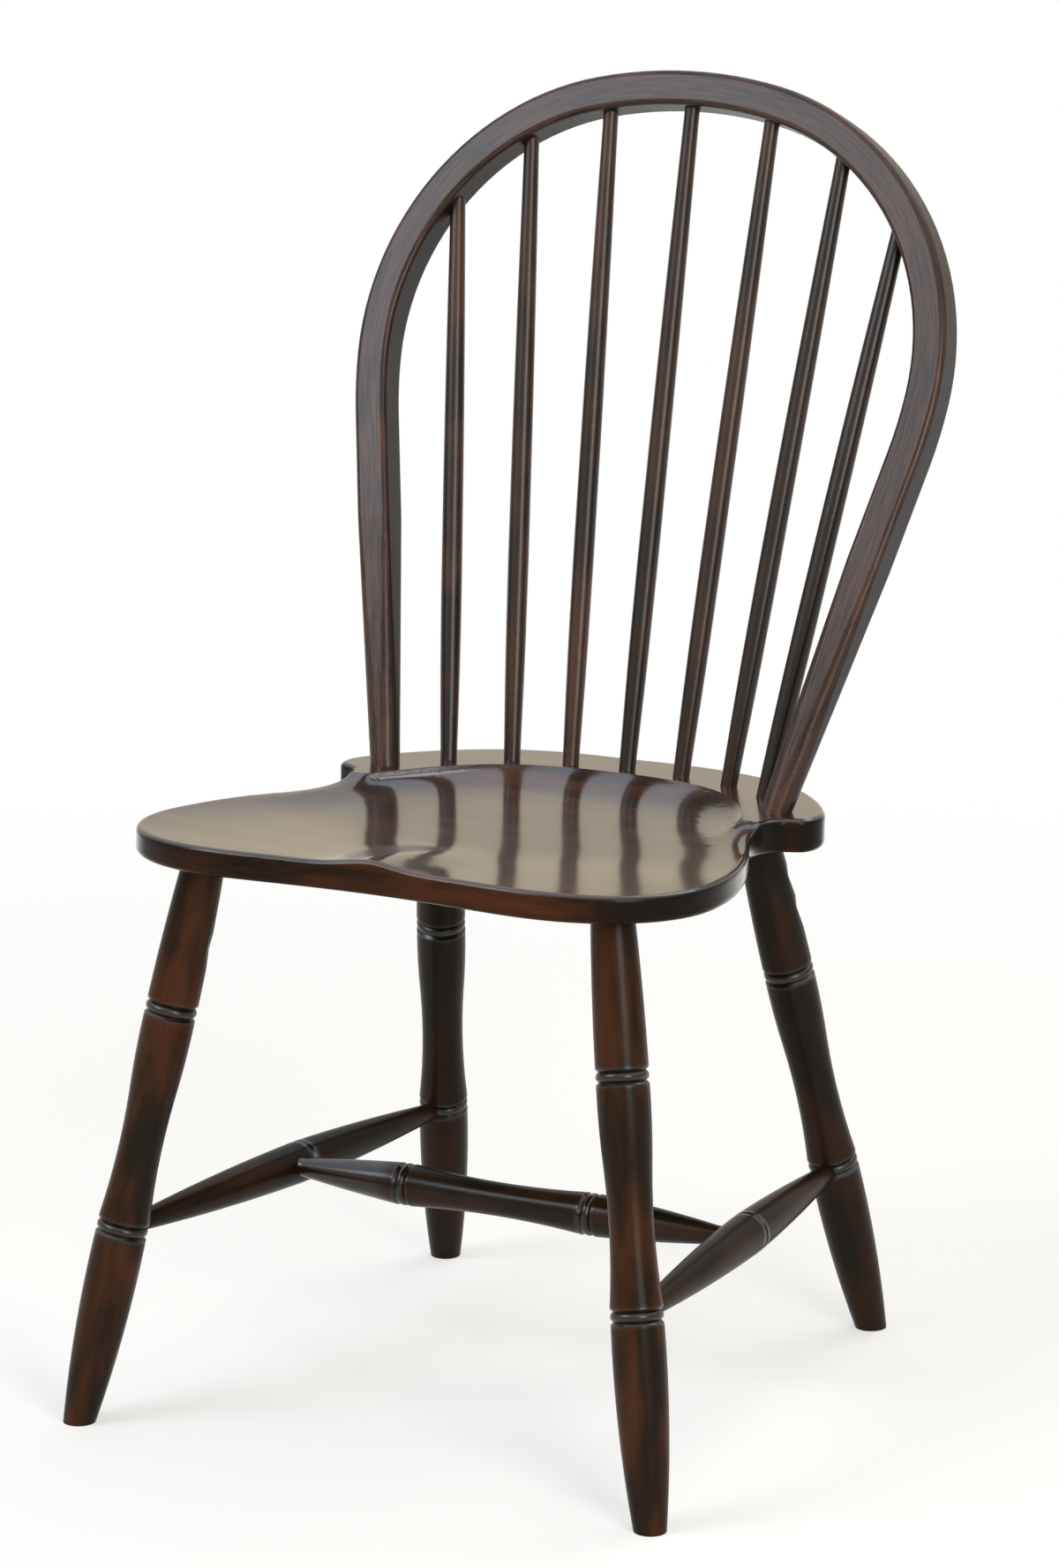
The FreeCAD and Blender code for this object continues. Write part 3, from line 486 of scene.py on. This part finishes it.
def dress(node_name, material):
    """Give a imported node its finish."""
    mesh = nodes[node_name].data
    mesh.materials.clear()
    mesh.materials.append(material)


# Pieces

def leg_axis(sizes, end, side):
    """Foot centre and top of a leg's axis."""
    foot, top = Vector(getattr(sizes, end + "_foot")), Vector(getattr(sizes, end + "_top"))
    return Vector((side * foot.x, foot.y, foot.z)), Vector((side * top.x, top.y, top.z))


def side_axis(sizes, side):
    """Where a side stretcher's axis meets the axes of the front and the rear leg."""
    ends = []
    for end in ("front", "rear"):
        foot, top = leg_axis(sizes, end, side)
        ends.append(foot.lerp(top, getattr(sizes, "side_" + end) / top.z))
    return ends


class CHAIR_OT_legs(Operator):
    """Stain and lacquer the four turned legs"""

    bl_idname = "chair.legs"
    bl_label = "Legs"

    def execute(self, context):
        sizes, colours = context.scene.chair_turnings, context.scene.chair_finish
        number = 0
        # The rear legs' darker tone is painted shade from the seat above them
        for end, rub in LEGS_WIPED_AND_SHADED:
            rings = [(getattr(sizes, end + "_ring_" + which), sizes.ring_half) for which in ("low", "high")]
            for word, side in SIDES:
                number += 1
                foot, top = leg_axis(sizes, end, side)
                name = "leg_%s_%s" % (end, word)
                grain = straight_grain(stick_place(foot, top))
                dress(name, stained_wood(name + "_wood", grain, colours.stain, colours.rubbed, rub=rub,
                                         gloss=0.16, gloss_rough=0.28, seed=LEG_SEED + number,
                                         rings=rings, end_axis=(top - foot).normalized()))
        return {"FINISHED"}


class CHAIR_OT_stretchers(Operator):
    """Stain and lacquer the H stretcher"""

    bl_idname = "chair.stretchers"
    bl_label = "Stretchers"

    def execute(self, context):
        sizes, colours = context.scene.chair_turnings, context.scene.chair_finish
        joints = []
        for word, side in SIDES:
            front, rear = side_axis(sizes, side)
            joints.append(front.lerp(rear, sizes.centre_joint))
            name = "side_stretcher_" + word
            ring = (sizes.side_ring * (rear - front).length, sizes.groove_half)
            grain = straight_grain(stick_place(front, rear))
            dress(name, stained_wood(name + "_wood", grain, colours.stain, colours.rubbed, rub=0.2,
                                     gloss=0.1, seed=SIDE_SEED + side, rings=[ring]))
        span = (joints[1] - joints[0]).length
        # Two rings, and a painted highlight patch of extra coat and darker stain on the left end
        rings = [(sizes.centre_ring_left * span, sizes.ring_half),
                 (sizes.centre_ring_right * span, sizes.ring_half),
                 (sizes.highlight_place * span, sizes.highlight_half)]
        name = "centre_stretcher"
        grain = straight_grain(stick_place(*joints))
        dress(name, stained_wood(name + "_wood", grain, colours.stain, colours.rubbed, rub=0.3,
                                 gloss=0.26, gloss_rough=0.2, seed=CENTRE_SEED, rings=rings))
        return {"FINISHED"}


class CHAIR_OT_spindles(Operator):
    """Stain and lacquer the seven spindles"""

    bl_idname = "chair.spindles"
    bl_label = "Spindles"

    def execute(self, context):
        colours = context.scene.chair_finish
        middle = SPINDLE_COUNT // 2 + 1
        for number in range(1, SPINDLE_COUNT + 1):
            name = "spindle_%d" % number
            low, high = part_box(name)
            near, far = (low.x, high.x) if number > middle else (high.x, low.x)
            grain = straight_grain(stick_place((near, low.y, low.z), (far, high.y, high.z)))
            dress(name, stained_wood(name + "_wood", grain, colours.bow_stain, colours.bow_rubbed,
                                     rub=SPINDLE_LIGHTNESS[number - 1], gloss=0.65, gloss_rough=0.3,
                                     seed=SPINDLE_SEED + number))
        return {"FINISHED"}


class CHAIR_OT_bow(Operator):
    """Stain and lacquer the bent bow and its two wedges"""

    bl_idname = "chair.bow"
    bl_label = "Bow"

    def execute(self, context):
        colours = context.scene.chair_finish
        bow = context.scene.chair_bow
        grain = bent_grain(bow)
        # The bow's sides get painted shade: faces not facing this front direction are darkened
        front = (0.0, -math.cos(bow.recline), math.sin(bow.recline))
        for number, name in enumerate(("bow", "bow_wedge_left", "bow_wedge_right")):
            dress(name, stained_wood(name + "_wood", grain, colours.bow_stain, colours.bow_rubbed, rub=0.56,
                                     streak=0.75, pores=0.7, rough=0.42, gloss=0.46, gloss_rough=0.26,
                                     relief=0.0003, seed=BOW_SEED + number, unshaded_axis=front))
        return {"FINISHED"}


class CHAIR_OT_seat(Operator):
    """Stain and lacquer the saddled seat"""

    bl_idname = "chair.seat"
    bl_label = "Seat"

    def execute(self, context):
        colours = context.scene.chair_finish
        sideways = (1, 0, 0)
        grain = straight_grain(stick_place((0, 0, 0), sideways))
        dress("seat", stained_wood("seat_wood", grain, colours.stain, colours.rubbed, rub=0.6, streak=0.25,
                                   pores=0.05, rough=0.3, gloss=0.06, gloss_rough=0.13, relief=0.000012,
                                   shorten=0.5, seed=SEAT_SEED, end_axis=sideways, polished_top=True))
        return {"FINISHED"}


# Studio

def background_ray(tree):
    """1 for a ray from the camera, or one mirrored or bent on its way from it, and the Light Path node."""
    path = add_node(tree, "ShaderNodeLightPath")
    seen = maths(tree, "MAXIMUM", path.outputs["Is Glossy Ray"], path.outputs["Is Transmission Ray"])
    return maths(tree, "MAXIMUM", path.outputs["Is Camera Ray"], seen), path


def studio_world():
    """White to the camera, a warm wall under a cool sky in reflections, and a soft warm light."""
    world = bpy.data.worlds.new("Studio")
    world.use_nodes = True
    tree = world.node_tree
    tree.nodes.clear()
    direction = add_node(tree, "ShaderNodeTexCoord").outputs["Generated"]
    up = add_node(tree, "ShaderNodeSeparateXYZ", None, Vector=direction).outputs["Z"]
    tint = blend_colours(tree, remap(tree, up, *TINT_STEP), WARM_WALL, COOL_SKY)
    strength = remap(tree, up, *SKY_STEP, WALL_STRENGTH, SKY_STRENGTH)
    seen, path = background_ray(tree)
    light = add_node(tree, "ShaderNodeBackground", None, Color=SOFT_LIGHT, Strength=SOFT_STRENGTH)
    mirrored = add_node(tree, "ShaderNodeBackground", None, Color=tint, Strength=strength)
    white = add_node(tree, "ShaderNodeBackground", None, Color=WHITE, Strength=1.0)
    mixed = add_node(tree, "ShaderNodeMixShader", None, Fac=seen)
    feed(tree, mixed, 1, light.outputs[0])
    feed(tree, mixed, 2, mirrored.outputs[0])
    shown = add_node(tree, "ShaderNodeMixShader", None, Fac=path.outputs["Is Camera Ray"])
    feed(tree, shown, 1, mixed.outputs[0])
    feed(tree, shown, 2, white.outputs[0])
    out = add_node(tree, "ShaderNodeOutputWorld")
    feed(tree, out, "Surface", shown.outputs[0])
    bpy.context.scene.world = world


def floor_material(near, far):
    """Pale matt floor that reads as white round the chair, keeps its shadow and is plain white far away."""
    material = bpy.data.materials.new("pale_floor")
    material.use_nodes = True
    tree = material.node_tree
    shader = tree.nodes["Principled BSDF"]
    feed(tree, shader, "Base Color", PALE_FLOOR)
    feed(tree, shader, "Roughness", 0.8)
    feed(tree, shader, "Specular IOR Level", 0.1)
    seen, _ = background_ray(tree)
    feed(tree, shader, "Emission Color", WHITE)
    feed(tree, shader, "Emission Strength", maths(tree, "MULTIPLY", seen, FLOOR_GLOW))
    position = add_node(tree, "ShaderNodeTexCoord").outputs["Object"]
    fade = remap(tree, vector_maths(tree, "LENGTH", position), near, far)
    white = add_node(tree, "ShaderNodeEmission", None, Color=WHITE, Strength=1.0)
    mixed = add_node(tree, "ShaderNodeMixShader", None, Fac=maths(tree, "MULTIPLY", fade, seen))
    feed(tree, mixed, 1, shader.outputs[0])
    feed(tree, mixed, 2, white.outputs[0])
    feed(tree, tree.nodes["Material Output"], "Surface", mixed.outputs[0])
    return material


def direction_to(azimuth, elevation):
    """Unit vector towards this turn from the front to the chair's right and this height."""
    flat = math.cos(elevation)
    return Vector((math.sin(azimuth) * flat, -math.cos(azimuth) * flat, math.sin(elevation)))


def aim(holder, point, azimuth, elevation, distance):
    """Put a lamp or camera this way and this far from a point, facing it."""
    back = direction_to(azimuth, elevation)
    holder.location = Vector(point) + back * distance
    holder.rotation_euler = back.to_track_quat("Z", "Y").to_euler()
    bpy.context.scene.collection.objects.link(holder)


def add_softbox(name, azimuth, elevation, width, height, watts, colour):
    """Rectangular lamp that faces the middle of the chair."""
    lamp = bpy.data.lights.new(name, "AREA")
    lamp.shape = "RECTANGLE"
    lamp.size = width
    lamp.size_y = height
    lamp.energy = watts
    lamp.color = colour
    holder = bpy.data.objects.new(name, lamp)
    aim(holder, LAMP_TARGET, math.radians(azimuth), math.radians(elevation), LAMP_DISTANCE)


class CHAIR_OT_studio(Operator):
    """Set up the floor, the lamps and the camera"""

    bl_idname = "chair.studio"
    bl_label = "Studio"

    def execute(self, context):
        scene = context.scene
        settings = scene.chair_studio
        mesh = bpy.data.meshes.new("floor")
        half = FLOOR_HALF
        corners = [(-half, -half, 0), (half, -half, 0), (half, half, 0), (-half, half, 0)]
        mesh.from_pydata(corners, [], [(0, 1, 2, 3)])
        floor = bpy.data.objects.new("floor", mesh)
        mesh.materials.append(floor_material(settings.floor_near, settings.floor_far))
        scene.collection.objects.link(floor)
        studio_world()
        for name, values in LAMPS.items():
            add_softbox(name, *values)
        data = bpy.data.cameras.new("camera")
        data.sensor_width = SENSOR_WIDTH
        data.lens = settings.lens
        camera = bpy.data.objects.new("camera", data)
        aim(camera, settings.target, settings.azimuth, settings.elevation, settings.distance)
        scene.camera = camera
        scene.view_settings.view_transform = "Standard"
        return {"FINISHED"}


PIECE_OPERATORS = (CHAIR_OT_legs, CHAIR_OT_stretchers, CHAIR_OT_spindles, CHAIR_OT_bow, CHAIR_OT_seat,
                   CHAIR_OT_studio)


class CHAIR_PT_panel(Panel):
    """Buttons for each group of pieces and for the studio."""

    bl_idname = "CHAIR_PT_panel"
    bl_label = "Bow-back chair"
    bl_space_type = "VIEW_3D"
    bl_region_type = "UI"
    bl_category = "Chair"

    def draw(self, context):
        for operator in PIECE_OPERATORS:
            self.layout.operator(operator.bl_idname)


PROPERTY_GROUPS = (("chair_turnings", CHAIR_PG_turnings), ("chair_bow", CHAIR_PG_bow),
                   ("chair_finish", CHAIR_PG_finish), ("chair_studio", CHAIR_PG_studio))


def register():
    for name, group in PROPERTY_GROUPS:
        bpy.utils.register_class(group)
        setattr(bpy.types.Scene, name, PointerProperty(type=group))
    for operator in PIECE_OPERATORS + (CHAIR_PT_panel,):
        bpy.utils.register_class(operator)


def unregister():
    for operator in reversed(PIECE_OPERATORS + (CHAIR_PT_panel,)):
        bpy.utils.unregister_class(operator)
    for name, group in reversed(PROPERTY_GROUPS):
        delattr(bpy.types.Scene, name)
        bpy.utils.unregister_class(group)


def main():
    register()
    for operator in PIECE_OPERATORS:
        group, name = operator.bl_idname.split(".")
        getattr(getattr(bpy.ops, group), name)()


if __name__ == "__main__":
    main()
